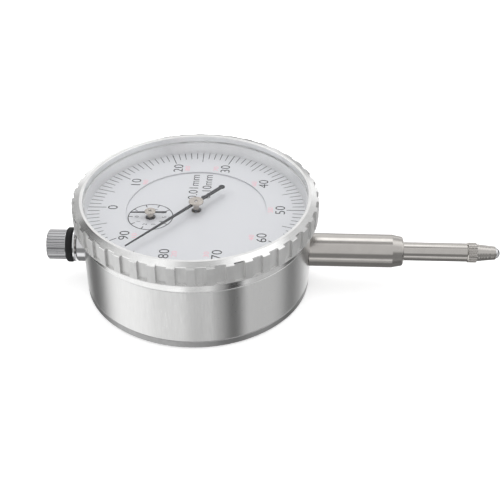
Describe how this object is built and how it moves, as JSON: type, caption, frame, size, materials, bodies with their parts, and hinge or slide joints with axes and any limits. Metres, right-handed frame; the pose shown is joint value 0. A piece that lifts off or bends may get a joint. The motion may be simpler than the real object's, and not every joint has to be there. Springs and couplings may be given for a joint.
{
  "type": "dial indicator",
  "caption": "Round plunger dial indicator with a turning toothed bezel, white dial, two pointers, a plain clamping stem and a spring-loaded spindle.",
  "frame": {"origin": "centre of the flat back face on the case's axis", "axes": "+X along the stem to the contact point, +Z out of the dial, +Y across the dial"},
  "size_m": [0.1085, 0.0574, 0.0244],
  "materials": {
    "case_satin": "satin, finely turned",
    "bezel_bright": "bright turned",
    "cover_satin": "satin",
    "stem_steel": "fine ground",
    "spindle_steel": "ground and polished",
    "bright_chrome": "polished",
    "knurled_steel": "knurled, bright",
    "black_rubber": "smooth black",
    "dial_white": "satin white, printed",
    "pointer_dark": "satin dark grey",
    "hub_nickel": "nickel-tinted, polished",
    "clear_crystal": "clear flat acrylic",
    "wheel_brass": "turned",
    "plate_brass": "brushed",
    "movement_steel": "polished pivots",
    "spring_steel": "blued"
  },
  "bodies": {
    "case_body": {"case": "case_satin", "back_cover": "cover_satin", "cover_screws": "movement_steel", "stem": "stem_steel", "lower_bush": "plate_brass", "upper_bush": "bright_chrome", "bezel_snap_wire": "spring_steel", "dial_disc": "dial_white", "dial_feet": "wheel_brass", "main_plate": "plate_brass", "top_plate": "plate_brass", "main_plate_bushes": "wheel_brass", "top_plate_bushes": "wheel_brass", "plate_pillars": "wheel_brass", "pillar_screws": "movement_steel", "movement_screws": "movement_steel", "pinion_cock": "plate_brass", "cock_bush": "wheel_brass", "cock_screws": "movement_steel", "guide_rail": "movement_steel", "rail_screws": "movement_steel", "spring_post": "movement_steel", "hairspring_stud": "wheel_brass", "hairspring": "spring_steel", "measuring_spring": "spring_steel"},
    "bezel_body": {"bezel": "bezel_bright", "crystal": "clear_crystal", "crystal_gasket": "dial_white", "dial_ring": "dial_white"},
    "spindle_body": {"spindle": "spindle_steel", "guide_pin": "movement_steel", "lifting_cap": "knurled_steel", "rubber_ring": "black_rubber", "cap_washer": "bright_chrome", "contact_point": "knurled_steel", "contact_ball": "bright_chrome"},
    "counter_body": {"rack_pinion": "movement_steel", "counter_wheel": "wheel_brass", "small_pointer": "pointer_dark", "small_pointer_hub": "hub_nickel"},
    "pointer_body": {"centre_pinion": "movement_steel", "main_pointer": "pointer_dark", "main_pointer_hub": "hub_nickel"},
    "return_body": {"return_arbor": "movement_steel", "return_wheel": "wheel_brass", "hairspring_collet": "wheel_brass"}
  },
  "joints": [
    {"name": "bezel_turn", "type": "hinge", "parent": "case_body", "child": "bezel_body", "pos_m": [0, 0, 0.0185], "axis": [0, 0, 1], "continuous": true},
    {"name": "spindle_slide", "type": "slide", "parent": "case_body", "child": "spindle_body", "axis": [-1, 0, 0], "range_m": [0, 0.0103], "stiffness_N_per_m": 50, "springref_m": -0.012, "deforming": ["measuring_spring"]},
    {"name": "counter_turn", "type": "hinge", "parent": "case_body", "child": "counter_body", "pos_m": [-0.01045, -0.00325, 0.0085], "axis": [0, 0, 1], "range_deg": [-1, 372]},
    {"name": "pointer_turn", "type": "hinge", "parent": "case_body", "child": "pointer_body", "pos_m": [0, 0, 0.014], "axis": [0, 0, 1], "range_deg": [-3710, 1]},
    {"name": "return_turn", "type": "hinge", "parent": "case_body", "child": "return_body", "pos_m": [0.01045, 0.00325, 0.0135], "axis": [0, 0, 1], "range_deg": [-1, 372], "deforming": ["hairspring"]}
  ],
  "couplings": [
    {"joint": "counter_turn", "follows": "spindle_slide", "rad_per_m": 628.32},
    {"joint": "pointer_turn", "follows": "spindle_slide", "rad_per_m": -6283.2},
    {"joint": "return_turn", "follows": "spindle_slide", "rad_per_m": 628.32}
  ]
}
